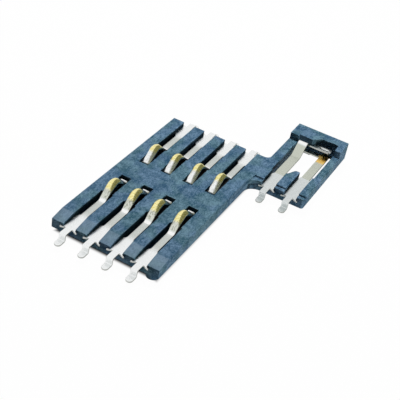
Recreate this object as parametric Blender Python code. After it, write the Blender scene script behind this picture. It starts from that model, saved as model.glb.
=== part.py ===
"""Smart card connector: a low moulded frame with eight sprung contacts and a leaf switch.

The frame is modelled in metres with its underside on Z = 0 and its origin in the middle of
the two contact rows. X runs across the contacts and Y along them. The card slides over the
ribs from the -Y end towards the card stop at the +Y end.

Every contact is formed the way the real strip is: a flat blank is cut from its outline, then
bent along a path of straight runs and bends, and dented where a bump or a bead is pressed.
"""
import math

import bmesh
import bpy

MM = 0.001

# Card interface
PITCH = 2.54 * MM
ROW_OFFSET = 3.81 * MM
COLUMNS = 4

# Moulded frame
BODY_LENGTH = 22.0 * MM
BODY_HEIGHT = 1.28 * MM
EDGE_RIB_WIDTH = 1.265 * MM
CHANNEL_WIDTH = 1.35 * MM
SLOT_WIDTH = 1.10 * MM
SLOT_LENGTH = 3.38 * MM
CENTRE_WEB_LENGTH = 3.04 * MM
ROOT_SEAT_LENGTH = 2.05 * MM
LEAD_IN_LENGTH = 1.615 * MM
LEAD_IN_DROP = 0.29 * MM
PEG_DIAMETER = 1.30 * MM
PEG_LENGTH = 0.50 * MM
PEG_INSET = 0.90 * MM
PEG_END_INSET = 0.68 * MM

# Switch arm of the frame
SWITCH_NEAR_Y = 6.93 * MM
SWITCH_LENGTH = 11.685 * MM
SWITCH_SIDE_STEP = 0.12 * MM
SWITCH_LEFT_WALL = 1.23 * MM
SWITCH_RIGHT_WALL = 0.84 * MM
SWITCH_CHANNEL_WIDTH = 1.44 * MM
SWITCH_PITCH = 2.54 * MM
SWITCH_CORNER_RADIUS = 0.30 * MM
NEAR_FILLET_RADIUS = 1.30 * MM
FAR_FILLET_RADIUS = 0.60 * MM
NEAR_STEP_LENGTH = 0.47 * MM
NEAR_STEP_DROP = 0.18 * MM
STOP_HEIGHT = 2.0 * MM
STOP_DEPTH = 2.375 * MM
NOSE_RECESS_DEPTH = 0.29 * MM
BAR_RECESS_DEPTH = 1.15 * MM
NOSE_RECESS_MARGIN = 0.16 * MM
BAR_RECESS_MARGIN = 0.30 * MM
WINDOW_MARGIN = 0.13 * MM
MIDDLE_BLOCK_REACH = 1.78 * MM
MIDDLE_BLOCK_CREST = 1.10 * MM

# Sheet metal
STRIP_THICKNESS = 0.15 * MM
STRIP_LEVEL = 0.65 * MM
SEAT_CLEARANCE = 0.02 * MM
SIDE_CLEARANCE = 0.03 * MM
JOINT_CLEARANCE = 0.015 * MM

# Solder tails
TAIL_WIDTH = 0.70 * MM
TAIL_FLAT_LENGTH = 0.86 * MM
TAIL_BEND_ANGLE = math.radians(86)
TAIL_BEND_RADIUS = 0.15 * MM
FOOT_LENGTH = 0.81 * MM

# Barbs
BARB_SPAN = 1.86 * MM
BARB_WIDTH = 0.16 * MM
BARB_HOOK = 0.05 * MM
BARB_NOTCH = 0.14 * MM

# Contact arms
ARM_WIDTH = 0.70 * MM
SHOULDER_LENGTH = 0.35 * MM
BUMP_WIDTH = 0.84 * MM
BUMP_HEIGHT = 2.26 * MM
BUMP_CROWN = 0.15 * MM
BUMP_CROWN_LENGTH = 2.6 * MM
RAMP_ANGLE = math.radians(44)
KINK_RADIUS = 0.45 * MM
BUMP_RADIUS = 0.90 * MM
NOSE_ANGLE = math.radians(40)
NOSE_LENGTH = 1.39 * MM
LIP_ANGLE = math.radians(5)
LIP_RADIUS = 0.30 * MM
LIP_LENGTH = 0.06 * MM
TIP_RADIUS = 0.12 * MM

# Switch lever
LEVER_WIDTH = 1.05 * MM
LEVER_ROOT_LENGTH = 2.64 * MM
LEVER_SHOULDER_LENGTH = 0.25 * MM
KNEE_FROM_STOP = 0.65 * MM
KNEE_HEIGHT = 1.87 * MM
KNEE_RADIUS = 0.35 * MM
LEVER_KINK_RADIUS = 0.45 * MM
LEVER_RAMP_ANGLE = math.radians(37)
LEVER_DROP_ANGLE = math.radians(50)
LEVER_BAR_HEIGHT = 1.40 * MM
BAR_BEND_RADIUS = 0.15 * MM
BAR_GAP_TO_RECESS = 0.37 * MM
NOSE_GAP_TO_RECESS = 0.20 * MM
BAR_WIDTH = 0.95 * MM
BAR_SLANT = 0.38 * MM
BAR_END_GAP = 0.26 * MM
BEAD_LENGTH = 1.10 * MM
BEAD_WIDTH = 0.40 * MM
BEAD_DEPTH = 0.07 * MM

# Switch terminal
TERMINAL_WIDTH = 0.92 * MM
TERMINAL_NECK_WIDTH = 1.16 * MM
TERMINAL_SEAT_LENGTH = 2.22 * MM
TERMINAL_BASE_LENGTH = 3.97 * MM
TERMINAL_TIP_GAP = 0.44 * MM
TERMINAL_TIP_RUN = 0.70 * MM
TERMINAL_TIP_ANGLE = math.radians(12)
TERMINAL_TIP_RADIUS = 0.60 * MM
TAB_REACH = 2.00 * MM
TAB_WIDTH = 0.65 * MM
TAB_FROM_TIP = 0.67 * MM

# Fineness of curves
BEND_STEP = math.radians(11)
ARC_STEPS = 8
FORM_COLUMNS = 6
BLOCK_CREST_SHARE = 0.65
SHARP_ANGLE = math.radians(30)
UPRIGHT_LIMIT = 0.01
MERGE = 1e-7

# Places worked out from the sizes above
BODY_END = BODY_LENGTH / 2
BODY_SIDE = ((COLUMNS - 1) * PITCH + CHANNEL_WIDTH) / 2 + EDGE_RIB_WIDTH
SLOT_END = CENTRE_WEB_LENGTH / 2
SLOT_JOG = SLOT_END + SLOT_LENGTH
SEAT_LEVEL = STRIP_LEVEL - SEAT_CLEARANCE
STRIP_MIDDLE = STRIP_LEVEL + STRIP_THICKNESS / 2
HINGE_Y = BODY_END - ROOT_SEAT_LENGTH - SHOULDER_LENGTH
LEVER_X = BODY_SIDE + SWITCH_LEFT_WALL + SWITCH_CHANNEL_WIDTH / 2
TERMINAL_X = LEVER_X + SWITCH_PITCH
SWITCH_LEFT = BODY_SIDE + SWITCH_SIDE_STEP
SWITCH_RIGHT = TERMINAL_X + SWITCH_CHANNEL_WIDTH / 2 + SWITCH_RIGHT_WALL
SWITCH_FAR_Y = SWITCH_NEAR_Y + SWITCH_LENGTH
STOP_Y = SWITCH_FAR_Y - STOP_DEPTH
LEVER_SEAT_Y = SWITCH_NEAR_Y + LEVER_ROOT_LENGTH
LEVER_HINGE_Y = LEVER_SEAT_Y + LEVER_SHOULDER_LENGTH
TERMINAL_SEAT_Y = SWITCH_NEAR_Y + TERMINAL_SEAT_LENGTH
TERMINAL_CREASE_Y = SWITCH_NEAR_Y + TERMINAL_BASE_LENGTH
ABOVE = STOP_HEIGHT + 1 * MM
BELOW = -PEG_LENGTH - 1 * MM

# Colours, roughness and metallic values
SLATE_PLASTIC = ((0.075, 0.125, 0.175, 1.0), 0.55, 0.0)
TINNED_STRIP = ((0.74, 0.74, 0.70, 1.0), 0.32, 1.0)


def clear_scene():
    """Remove every object and mesh that the file starts with."""
    for obj in list(bpy.data.objects):
        bpy.data.objects.remove(obj, do_unlink=True)
    for mesh in list(bpy.data.meshes):
        bpy.data.meshes.remove(mesh)


def make_material(name, look):
    """A Principled material from a colour, a roughness and a metallic value."""
    colour, roughness, metallic = look
    material = bpy.data.materials.new(name)
    material.use_nodes = True
    shader = material.node_tree.nodes["Principled BSDF"]
    shader.inputs["Base Color"].default_value = colour
    shader.inputs["Roughness"].default_value = roughness
    shader.inputs["Metallic"].default_value = metallic
    material.diffuse_color = colour
    return material


def add_object(name, bm, material=None, upright_only=False):
    """Turn a bmesh into a named object, smooth where its faces bend gently.

    A moulding stays flat on its decks and ramps, and is smooth on its upright walls only.
    """
    bmesh.ops.recalc_face_normals(bm, faces=bm.faces)
    for face in bm.faces:
        face.smooth = not upright_only or abs(face.normal.z) < UPRIGHT_LIMIT
    mesh = bpy.data.meshes.new(name)
    bm.to_mesh(mesh)
    bm.free()
    mesh.set_sharp_from_angle(angle=SHARP_ANGLE)
    obj = bpy.data.objects.new(name, mesh)
    bpy.context.collection.objects.link(obj)
    if material is not None:
        mesh.materials.append(material)
    return obj


def add_prism(bm, outline, low, high):
    """Extrude a plan outline, given as (x, y) points, from one height to another."""
    face = bm.faces.new([bm.verts.new((x, y, low)) for x, y in outline])
    grown = bmesh.ops.extrude_face_region(bm, geom=[face])
    top = [item for item in grown["geom"] if isinstance(item, bmesh.types.BMVert)]
    bmesh.ops.translate(bm, verts=top, vec=(0, 0, high - low))


def arc(centre, radius, start, end, steps=ARC_STEPS):
    """Points of a round stretch from one angle to another, in degrees."""
    points = []
    for i in range(steps + 1):
        angle = math.radians(start + (end - start) * i / steps)
        points.append((centre[0] + radius * math.cos(angle), centre[1] + radius * math.sin(angle)))
    return points


def rectangle(x0, x1, y0, y1):
    """Corners of a plan rectangle."""
    return [(x0, y0), (x1, y0), (x1, y1), (x0, y1)]


def make_cutter(name, prisms):
    """One hidden cutting object made of separate prisms."""
    bm = bmesh.new()
    for outline, low, high in prisms:
        add_prism(bm, outline, low, high)
    cutter = add_object(name, bm, upright_only=True)
    cutter.hide_render = True
    cutter.display_type = "WIRE"
    return cutter


def combine(obj, other, operation):
    """Add an exact Boolean modifier to an object."""
    modifier = obj.modifiers.new(other.name, "BOOLEAN")
    modifier.operation = operation
    modifier.solver = "EXACT"
    modifier.object = other


def column_positions():
    """X of the contact columns, symmetrical about the middle."""
    return [(i - (COLUMNS - 1) / 2) * PITCH for i in range(COLUMNS)]


def frame_outline():
    """Plan of the frame: the ribbed body with the switch arm at its +X side."""
    near_fillet_x = BODY_SIDE + NEAR_FILLET_RADIUS
    near_fillet_y = SWITCH_NEAR_Y - NEAR_FILLET_RADIUS
    corner_x = SWITCH_RIGHT - SWITCH_CORNER_RADIUS
    corner_y = SWITCH_NEAR_Y + SWITCH_CORNER_RADIUS
    far_fillet_x = SWITCH_LEFT - FAR_FILLET_RADIUS
    far_fillet_y = BODY_END + FAR_FILLET_RADIUS
    points = [(-BODY_SIDE, -BODY_END), (BODY_SIDE, -BODY_END)]
    points += arc((near_fillet_x, near_fillet_y), NEAR_FILLET_RADIUS, 180, 90)
    points += arc((corner_x, corner_y), SWITCH_CORNER_RADIUS, -90, 0)
    points += [(SWITCH_RIGHT, SWITCH_FAR_Y), (SWITCH_LEFT, SWITCH_FAR_Y)]
    points += arc((far_fillet_x, far_fillet_y), FAR_FILLET_RADIUS, 0, -90)
    points += [(-BODY_SIDE, BODY_END)]
    return points


def stop_outline():
    """Plan of the raised card stop, with its recess for the lever's nose and head bar."""
    nose_left = LEVER_X - LEVER_WIDTH / 2 - NOSE_RECESS_MARGIN
    nose_right = LEVER_X + LEVER_WIDTH / 2 + NOSE_RECESS_MARGIN
    bar_right = head_bar_end() + BAR_RECESS_MARGIN
    nose_y = STOP_Y + NOSE_RECESS_DEPTH
    bar_y = STOP_Y + BAR_RECESS_DEPTH
    slant = bar_y - nose_y
    return [(SWITCH_LEFT, STOP_Y), (nose_left, STOP_Y), (nose_left, nose_y), (nose_right, nose_y),
            (nose_right + slant, bar_y), (bar_right, bar_y), (bar_right, STOP_Y),
            (SWITCH_RIGHT, STOP_Y), (SWITCH_RIGHT, SWITCH_FAR_Y), (SWITCH_LEFT, SWITCH_FAR_Y)]


def head_bar_end():
    """X of the head bar's free end, just inside the right wall."""
    return TERMINAL_X + SWITCH_CHANNEL_WIDTH / 2 - BAR_END_GAP


def window_outline():
    """Plan of the open window under the switch blades, round the middle block's free end."""
    half = SWITCH_CHANNEL_WIDTH / 2
    left = LEVER_X - half - WINDOW_MARGIN
    right = TERMINAL_X + half + WINDOW_MARGIN
    block_left = LEVER_X + half
    block_right = TERMINAL_X - half
    nose_y = STOP_Y + NOSE_RECESS_DEPTH
    bar_y = STOP_Y + BAR_RECESS_DEPTH
    nose_right = LEVER_X + LEVER_WIDTH / 2 + NOSE_RECESS_MARGIN
    block_far = TERMINAL_SEAT_Y + MIDDLE_BLOCK_REACH
    block_near = block_far - MIDDLE_BLOCK_CREST
    points = [(left, LEVER_SEAT_Y), (block_left, LEVER_SEAT_Y)]
    for i in range(ARC_STEPS + 1):
        part = i / ARC_STEPS
        rise = (1 - math.cos(math.pi * min(1.0, part / BLOCK_CREST_SHARE))) / 2
        points.append((block_left + (block_right - block_left) * part,
                       block_near + (block_far - block_near) * rise))
    points += [(block_right, TERMINAL_SEAT_Y), (TERMINAL_X + half, TERMINAL_SEAT_Y)]
    points += [(TERMINAL_X + half, TERMINAL_CREASE_Y), (right, TERMINAL_CREASE_Y)]
    points += [(right, bar_y), (nose_right + bar_y - nose_y, bar_y)]
    points += [(nose_right, nose_y), (left, nose_y)]
    return points


def slot_outline(x, side):
    """Plan of one through-slot: a wide channel that narrows round the bump."""
    wide = CHANNEL_WIDTH / 2
    narrow = SLOT_WIDTH / 2
    seat = BODY_END - ROOT_SEAT_LENGTH
    half = [(narrow, SLOT_END), (narrow, SLOT_JOG), (wide, SLOT_JOG), (wide, seat)]
    points = half + [(-px, py) for px, py in reversed(half)]
    return [(x + side * px, side * py) for px, py in points]


def build_housing(material):
    """The moulded frame: plate, stop and pegs joined, then slots, pockets and ramps cut."""
    bm = bmesh.new()
    add_prism(bm, frame_outline(), 0, BODY_HEIGHT)
    housing = add_object("housing", bm, material, upright_only=True)

    stop = make_cutter("stop_form", [(stop_outline(), 0, STOP_HEIGHT)])
    combine(housing, stop, "UNION")

    pegs = []
    for side in (1, -1):
        centre = (side * (BODY_SIDE - PEG_INSET), side * (PEG_END_INSET - BODY_END))
        ring = arc(centre, PEG_DIAMETER / 2, 0, 360, 3 * ARC_STEPS)[:-1]
        pegs.append((ring, -PEG_LENGTH, BODY_HEIGHT / 2))
    combine(housing, make_cutter("peg_form", pegs), "UNION")

    slots = [(slot_outline(x, side), BELOW, ABOVE) for x in column_positions() for side in (-1, 1)]
    slots.append((window_outline(), BELOW, ABOVE))
    combine(housing, make_cutter("slot_cutter", slots), "DIFFERENCE")

    pockets = []
    overlap = SHOULDER_LENGTH / 2
    for x in column_positions():
        x0, x1 = x - CHANNEL_WIDTH / 2, x + CHANNEL_WIDTH / 2
        inner = BODY_END - ROOT_SEAT_LENGTH - overlap
        outer = BODY_END + overlap
        pockets.append((rectangle(x0, x1, inner, outer), SEAT_LEVEL, ABOVE))
        pockets.append((rectangle(x0, x1, -outer, -inner), SEAT_LEVEL, ABOVE))
    near = SWITCH_NEAR_Y - overlap
    for x, far in ((LEVER_X, LEVER_HINGE_Y), (TERMINAL_X, TERMINAL_CREASE_Y)):
        half = SWITCH_CHANNEL_WIDTH / 2
        pockets.append((rectangle(x - half, x + half, near, far), SEAT_LEVEL, ABOVE))
    combine(housing, make_cutter("pocket_cutter", pockets), "DIFFERENCE")

    step = rectangle(SWITCH_LEFT + SWITCH_SIDE_STEP, SWITCH_RIGHT + overlap,
                     SWITCH_NEAR_Y - NEAR_STEP_LENGTH, SWITCH_NEAR_Y + NEAR_STEP_LENGTH)
    low = BODY_HEIGHT - NEAR_STEP_DROP
    combine(housing, make_cutter("near_step_cutter", [(step, low, ABOVE)]), "DIFFERENCE")

    combine(housing, lead_in_cutter(), "DIFFERENCE")
    return housing


def lead_in_cutter():
    """A wedge across all near rib ends that slopes their tops down for the card."""
    slope = LEAD_IN_DROP / LEAD_IN_LENGTH
    start = LEAD_IN_LENGTH - BODY_END
    end = -BODY_END - LEAD_IN_LENGTH
    low = BODY_HEIGHT - slope * (start - end)
    x = BODY_SIDE + EDGE_RIB_WIDTH
    bm = bmesh.new()
    corners = [(start, BODY_HEIGHT), (end, low), (end, ABOVE), (start, ABOVE)]
    face = bm.faces.new([bm.verts.new((-x, y, z)) for y, z in corners])
    grown = bmesh.ops.extrude_face_region(bm, geom=[face])
    side = [item for item in grown["geom"] if isinstance(item, bmesh.types.BMVert)]
    bmesh.ops.translate(bm, verts=side, vec=(2 * x, 0, 0))
    cutter = add_object("lead_in_cutter", bm, upright_only=True)
    cutter.hide_render = True
    cutter.display_type = "WIRE"
    return cutter


class StripPath:
    """Middle line of a formed strip: straight runs and bends, by length along the blank."""

    def __init__(self, height=0.0, angle=0.0):
        self.start = (0.0, height, angle)
        self.pieces = []
        self.length = 0.0

    def run(self, length):
        """Go straight on."""
        self.pieces.append((self.length, length, 0.0))
        self.length += length
        return self

    def bend(self, angle, radius):
        """Turn up by a positive angle or down by a negative one."""
        length = abs(angle) * radius
        self.pieces.append((self.length, length, angle / length))
        self.length += length
        return self

    def stations(self):
        """Lengths at which the blank is scored so that every bend comes out round."""
        marks = []
        for begin, length, curve in self.pieces:
            steps = max(1, math.ceil(abs(curve) * length / BEND_STEP))
            marks += [begin + length * i / steps for i in range(steps + 1)]
        return sorted({round(mark, 9) for mark in marks})

    def at(self, distance):
        """Position along Y, height and slope at a distance along the blank."""
        y, z, angle = self.start
        for index, (begin, length, curve) in enumerate(self.pieces):
            last = index == len(self.pieces) - 1
            part = distance - begin if last else min(max(distance - begin, 0.0), length)
            if index == 0 and distance < 0:
                part = distance
            if curve == 0.0:
                y += part * math.cos(angle)
                z += part * math.sin(angle)
            else:
                turned = angle + curve * part
                y += (math.sin(turned) - math.sin(angle)) / curve
                z += (math.cos(angle) - math.cos(turned)) / curve
                angle = turned
            if distance <= begin + length and not last:
                break
        return y, z, angle


def form_strip(name, outline, path, material, dent=None, scores=(), columns=()):
    """Cut a blank of an (x, length) outline, bend it along a path and press its dents."""
    bm = bmesh.new()
    add_prism(bm, outline, -STRIP_THICKNESS / 2, STRIP_THICKNESS / 2)
    for mark in list(path.stations()) + list(scores):
        geometry = bm.verts[:] + bm.edges[:] + bm.faces[:]
        bmesh.ops.bisect_plane(bm, geom=geometry, dist=MERGE, plane_co=(0, mark, 0), plane_no=(0, 1, 0))
    for mark in columns:
        geometry = bm.verts[:] + bm.edges[:] + bm.faces[:]
        bmesh.ops.bisect_plane(bm, geom=geometry, dist=MERGE, plane_co=(mark, 0, 0), plane_no=(1, 0, 0))
    for vert in bm.verts:
        x, distance, lift = vert.co
        if dent is not None:
            lift += dent(x, distance)
        y, z, angle = path.at(distance)
        vert.co = (x, y - lift * math.sin(angle), z + lift * math.cos(angle))
    return add_object(name, bm, material)


def place(obj, x, y, z, turned):
    """Stand a formed strip at its root, turned about Z by half a turn if it runs to -Y."""
    obj.location = (x, y, z)
    obj.rotation_euler = (0, 0, math.pi if turned else 0)


def mirror_outline(right):
    """Close a symmetrical outline from its right-hand side."""
    return right + [(-x, y) for x, y in reversed(right)]


def barbed_root_side(base_width, seat_end, toe_end):
    """Right-hand side of a root: barb hooked round the pocket's corner, notch, tail and toe."""
    tail = TAIL_WIDTH / 2
    barb_near = seat_end + SIDE_CLEARANCE
    tip = BARB_WIDTH / 2
    tip_centre = (BARB_SPAN / 2 - tip, barb_near + BARB_HOOK + tip)
    notch = BARB_NOTCH / 2
    notch_centre = (tail + notch, barb_near + tip)
    points = [(base_width / 2, barb_near)]
    points += arc(tip_centre, tip, -90, 120)
    points += arc(notch_centre, notch, 0, -180)
    points += [(tail, seat_end + TAIL_FLAT_LENGTH)]
    points += arc((0, toe_end - tail), tail, 0, 90)
    return points


def tail_path(path):
    """Continue a path from the seat's end down the gull-wing tail to its foot."""
    bends = 2 * TAIL_BEND_RADIUS * (1 - math.cos(TAIL_BEND_ANGLE))
    path.run(TAIL_FLAT_LENGTH)
    path.bend(-TAIL_BEND_ANGLE, TAIL_BEND_RADIUS)
    path.run((STRIP_LEVEL - bends) / math.sin(TAIL_BEND_ANGLE))
    path.bend(TAIL_BEND_ANGLE, TAIL_BEND_RADIUS)
    path.run(FOOT_LENGTH)
    return path


def make_root(name, base_width, neck_width, seat_length, shoulder, material):
    """Barbed root and solder tail, from the arm's hinge line outwards along +Y."""
    seat_end = shoulder + seat_length
    path = tail_path(StripPath().run(seat_end))
    side = [(neck_width / 2, JOINT_CLEARANCE)]
    reach = (base_width - neck_width) / 2
    for i in range(1, ARC_STEPS + 1):
        part = i / ARC_STEPS
        side.append((neck_width / 2 + reach * part ** 2, shoulder * part))
    side += barbed_root_side(base_width, seat_end, path.length)
    return form_strip(name, mirror_outline(side), path, material)


def bump_path():
    """Contact arm from the hinge line to the tip: flat, kink, ramp, bump, nose and lip."""
    rise = BUMP_HEIGHT - STRIP_THICKNESS / 2 - STRIP_MIDDLE
    bends = (KINK_RADIUS + BUMP_RADIUS) * (1 - math.cos(RAMP_ANGLE))
    ramp = (rise - bends) / math.sin(RAMP_ANGLE)
    reach = (KINK_RADIUS + BUMP_RADIUS) * math.sin(RAMP_ANGLE) + ramp * math.cos(RAMP_ANGLE)
    path = StripPath().run(HINGE_Y - ROW_OFFSET - reach)
    kink_at = path.length
    path.bend(RAMP_ANGLE, KINK_RADIUS).run(ramp)
    ramp_end = path.length
    bump_at = ramp_end + RAMP_ANGLE * BUMP_RADIUS
    path.bend(-RAMP_ANGLE - NOSE_ANGLE, BUMP_RADIUS).run(NOSE_LENGTH)
    path.bend(NOSE_ANGLE - LIP_ANGLE, LIP_RADIUS).run(LIP_LENGTH)
    return path, kink_at, ramp_end, bump_at


def contact_arm_outline(path, kink_at, ramp_end):
    """Blank of a contact arm: it widens along the ramp and has a rounded tip."""
    arm = ARM_WIDTH / 2
    bump = BUMP_WIDTH / 2
    side = [(arm, JOINT_CLEARANCE), (arm, kink_at)]
    side += [(bump, ramp_end)]
    side += arc((bump - TIP_RADIUS, path.length - TIP_RADIUS), TIP_RADIUS, 0, 90, ARC_STEPS // 2)
    return mirror_outline(side)


def crown(bump_at):
    """Dent that rounds the bump over: the edges sink below the middle of the strip."""
    def dent(x, distance):
        along = min(abs(distance - bump_at) / (BUMP_CROWN_LENGTH / 2), 1.0)
        fade = math.cos(along * math.pi / 2) ** 2
        return -BUMP_CROWN * fade * (x / (BUMP_WIDTH / 2)) ** 2
    return dent


def build_contacts(material):
    """Eight contacts, each a root fixed in the frame and an arm on its hinge line."""
    base_width = CHANNEL_WIDTH - 2 * SIDE_CLEARANCE
    path, kink_at, ramp_end, bump_at = bump_path()
    outline = contact_arm_outline(path, kink_at, ramp_end)
    columns = [BUMP_WIDTH * (i / FORM_COLUMNS - 0.5) for i in range(1, FORM_COLUMNS)]
    scores = [kink_at + (bump_at - kink_at) * i / 4 for i in range(1, 4)]
    scores += [bump_at + (BUMP_CROWN_LENGTH / 2) * i / 3 for i in range(1, 4)]
    number = 0
    for side in (-1, 1):
        for x in column_positions():
            number += 1
            root = make_root(f"contact_{number}_root", base_width, ARM_WIDTH, ROOT_SEAT_LENGTH,
                             SHOULDER_LENGTH, material)
            place(root, x, side * HINGE_Y, STRIP_MIDDLE, side < 0)
            arm = form_strip(f"contact_{number}_arm", outline, path, material, crown(bump_at),
                             scores, columns)
            place(arm, x, side * HINGE_Y, STRIP_MIDDLE, side > 0)


def lever_path():
    """Lever from its hinge line: flat arm, ramp up to the knee, drop to the level head."""
    rise = KNEE_HEIGHT - STRIP_THICKNESS / 2 - STRIP_MIDDLE
    bends = (LEVER_KINK_RADIUS + KNEE_RADIUS) * (1 - math.cos(LEVER_RAMP_ANGLE))
    ramp = (rise - bends) / math.sin(LEVER_RAMP_ANGLE)
    reach = (LEVER_KINK_RADIUS + KNEE_RADIUS) * math.sin(LEVER_RAMP_ANGLE)
    reach += ramp * math.cos(LEVER_RAMP_ANGLE)
    knee_y = STOP_Y - KNEE_FROM_STOP
    path = StripPath().run(knee_y - LEVER_HINGE_Y - reach)
    path.bend(LEVER_RAMP_ANGLE, LEVER_KINK_RADIUS).run(ramp)
    path.bend(-LEVER_RAMP_ANGLE - LEVER_DROP_ANGLE, KNEE_RADIUS)
    fall = KNEE_HEIGHT - LEVER_BAR_HEIGHT
    fall -= (KNEE_RADIUS + BAR_BEND_RADIUS) * (1 - math.cos(LEVER_DROP_ANGLE))
    path.run(fall / math.sin(LEVER_DROP_ANGLE))
    path.bend(LEVER_DROP_ANGLE, BAR_BEND_RADIUS)
    bar_end_y = STOP_Y + BAR_RECESS_DEPTH - BAR_GAP_TO_RECESS
    head_y = LEVER_HINGE_Y + path.at(path.length)[0]
    path.run(bar_end_y - head_y)
    return path


def lever_outline(path):
    """Blank of the lever: a straight arm with an L-shaped head reaching to +X."""
    half = LEVER_WIDTH / 2
    end = path.length
    nose_end = end - (BAR_RECESS_DEPTH - BAR_GAP_TO_RECESS) + NOSE_RECESS_DEPTH - NOSE_GAP_TO_RECESS
    bar_near = end - BAR_WIDTH
    bar_end = head_bar_end() - LEVER_X
    corner = BAR_WIDTH / 4
    inner = BAR_BEND_RADIUS
    slant = min(BAR_SLANT, end - nose_end)
    points = [(-half, JOINT_CLEARANCE), (half, JOINT_CLEARANCE)]
    points += arc((half + inner, bar_near - inner), inner, 180, 90, ARC_STEPS // 2)
    points += arc((bar_end - corner, bar_near + corner), corner, -90, 0, ARC_STEPS // 2)
    points += arc((bar_end - corner, end - corner), corner, 0, 90, ARC_STEPS // 2)
    points += [(half + BAR_SLANT + slant, end), (half + BAR_SLANT, nose_end), (-half, nose_end)]
    return points


def bead(path):
    """Dent of the contact bead, pressed down along the free part of the head bar."""
    middle_x = head_bar_end() - LEVER_X - BEAD_LENGTH / 2 - BAR_WIDTH / 4
    middle_y = path.length - BAR_WIDTH / 2

    def dent(x, distance):
        across = min(abs(distance - middle_y) / (BEAD_WIDTH / 2), 1.0)
        along = min(abs(x - middle_x) / (BEAD_LENGTH / 2), 1.0)
        return -BEAD_DEPTH * math.cos(across * math.pi / 2) ** 2 * (1 - along ** 4)
    return dent, middle_x, middle_y


def build_switch(material):
    """The sprung lever on its barbed root, and the fixed terminal below its head."""
    base_width = SWITCH_CHANNEL_WIDTH - 2 * SIDE_CLEARANCE
    root = make_root("switch_lever_root", base_width, LEVER_WIDTH, LEVER_ROOT_LENGTH,
                     LEVER_SHOULDER_LENGTH, material)
    place(root, LEVER_X, LEVER_HINGE_Y, STRIP_MIDDLE, True)
    path = lever_path()
    dent, middle_x, middle_y = bead(path)
    scores = [middle_y + BEAD_WIDTH * (i / 8 - 0.5) for i in range(9)]
    columns = [middle_x + BEAD_LENGTH * (i / 8 - 0.5) for i in range(9)]
    arm = form_strip("switch_lever_arm", lever_outline(path), path, material, dent, scores, columns)
    place(arm, LEVER_X, LEVER_HINGE_Y, STRIP_MIDDLE, False)
    build_terminal(base_width, material)


def build_terminal(base_width, material):
    """One strip from the dipped, plated tip back to the solder tail, with its side tab."""
    tip_y = STOP_Y + BAR_RECESS_DEPTH - TERMINAL_TIP_GAP
    path = StripPath(angle=TERMINAL_TIP_ANGLE).run(TERMINAL_TIP_RUN)
    path.bend(-TERMINAL_TIP_ANGLE, TERMINAL_TIP_RADIUS)
    reach, rise, _ = path.at(path.length)
    path.run(tip_y - SWITCH_NEAR_Y - reach)
    seat_end = path.length
    tail_path(path)
    half = TERMINAL_WIDTH / 2
    base = base_width / 2
    tip_round = TIP_RADIUS
    seat_start = seat_end - TERMINAL_SEAT_LENGTH
    crease = seat_end - TERMINAL_BASE_LENGTH
    neck = TERMINAL_NECK_WIDTH / 2
    tab_near = TAB_FROM_TIP + TAB_WIDTH
    tab_round = TAB_WIDTH / 4
    inner = TIP_RADIUS / 2
    right = arc((half - tip_round, tip_round), tip_round, -90, 0, ARC_STEPS // 2)
    right += [(half, TAB_FROM_TIP)]
    right += arc((half + TAB_REACH - tab_round, TAB_FROM_TIP + tab_round), tab_round, -90, 0, 4)
    right += arc((half + TAB_REACH - tab_round, tab_near - tab_round), tab_round, 0, 90, 4)
    right += arc((half + inner, tab_near + inner), inner, -90, -180, 4)
    right += [(half, crease), (neck, crease + neck - half), (base, seat_start)]
    side = barbed_root_side(base_width, seat_end, path.length)
    left = [(-half, crease), (-neck, crease + neck - half), (-base, seat_start)]
    left = arc((tip_round - half, tip_round), tip_round, -90, -180, ARC_STEPS // 2) + left
    outline = right + side + [(-x, y) for x, y in reversed(side)] + list(reversed(left))
    blade = form_strip("switch_terminal", outline, path, material)
    place(blade, TERMINAL_X, tip_y, STRIP_MIDDLE - rise, True)


def main():
    clear_scene()
    plastic = make_material("slate_plastic", SLATE_PLASTIC)
    plated = make_material("plated_strip", TINNED_STRIP)
    build_housing(plastic)
    build_contacts(plated)
    build_switch(plated)


main()
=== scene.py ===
"""Looks of a smart card connector: moulded slate frame, plated contact strips, studio.

Lengths are in metres, and MM turns millimetres into them. Each contact strip is one sheet,
bent from flat, that covers both CAD nodes of its contact.
"""
import math

import bmesh
import bpy
import numpy as np
from mathutils import Matrix, Vector
from mathutils.geometry import delaunay_2d_cdt


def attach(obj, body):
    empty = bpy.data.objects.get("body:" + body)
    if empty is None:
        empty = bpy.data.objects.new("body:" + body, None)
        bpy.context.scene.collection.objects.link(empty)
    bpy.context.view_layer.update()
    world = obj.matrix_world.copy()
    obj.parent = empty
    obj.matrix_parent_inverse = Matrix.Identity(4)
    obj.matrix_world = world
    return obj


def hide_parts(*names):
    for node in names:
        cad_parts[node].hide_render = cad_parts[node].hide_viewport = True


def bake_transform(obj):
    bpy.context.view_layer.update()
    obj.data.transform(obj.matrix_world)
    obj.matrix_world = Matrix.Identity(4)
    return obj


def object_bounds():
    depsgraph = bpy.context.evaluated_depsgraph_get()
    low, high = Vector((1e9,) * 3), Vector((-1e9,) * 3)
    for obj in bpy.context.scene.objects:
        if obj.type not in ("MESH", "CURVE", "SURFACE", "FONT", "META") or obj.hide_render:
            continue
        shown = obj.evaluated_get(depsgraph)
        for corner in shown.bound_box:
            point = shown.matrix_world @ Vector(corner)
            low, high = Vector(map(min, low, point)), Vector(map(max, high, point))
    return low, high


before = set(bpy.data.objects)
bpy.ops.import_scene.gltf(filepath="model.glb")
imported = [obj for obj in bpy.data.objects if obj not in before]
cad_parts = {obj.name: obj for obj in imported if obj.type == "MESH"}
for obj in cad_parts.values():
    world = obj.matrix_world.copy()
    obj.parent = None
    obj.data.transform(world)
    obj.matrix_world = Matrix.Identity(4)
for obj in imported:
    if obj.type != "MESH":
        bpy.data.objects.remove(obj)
cad_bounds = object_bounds()

MM = 0.001

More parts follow.
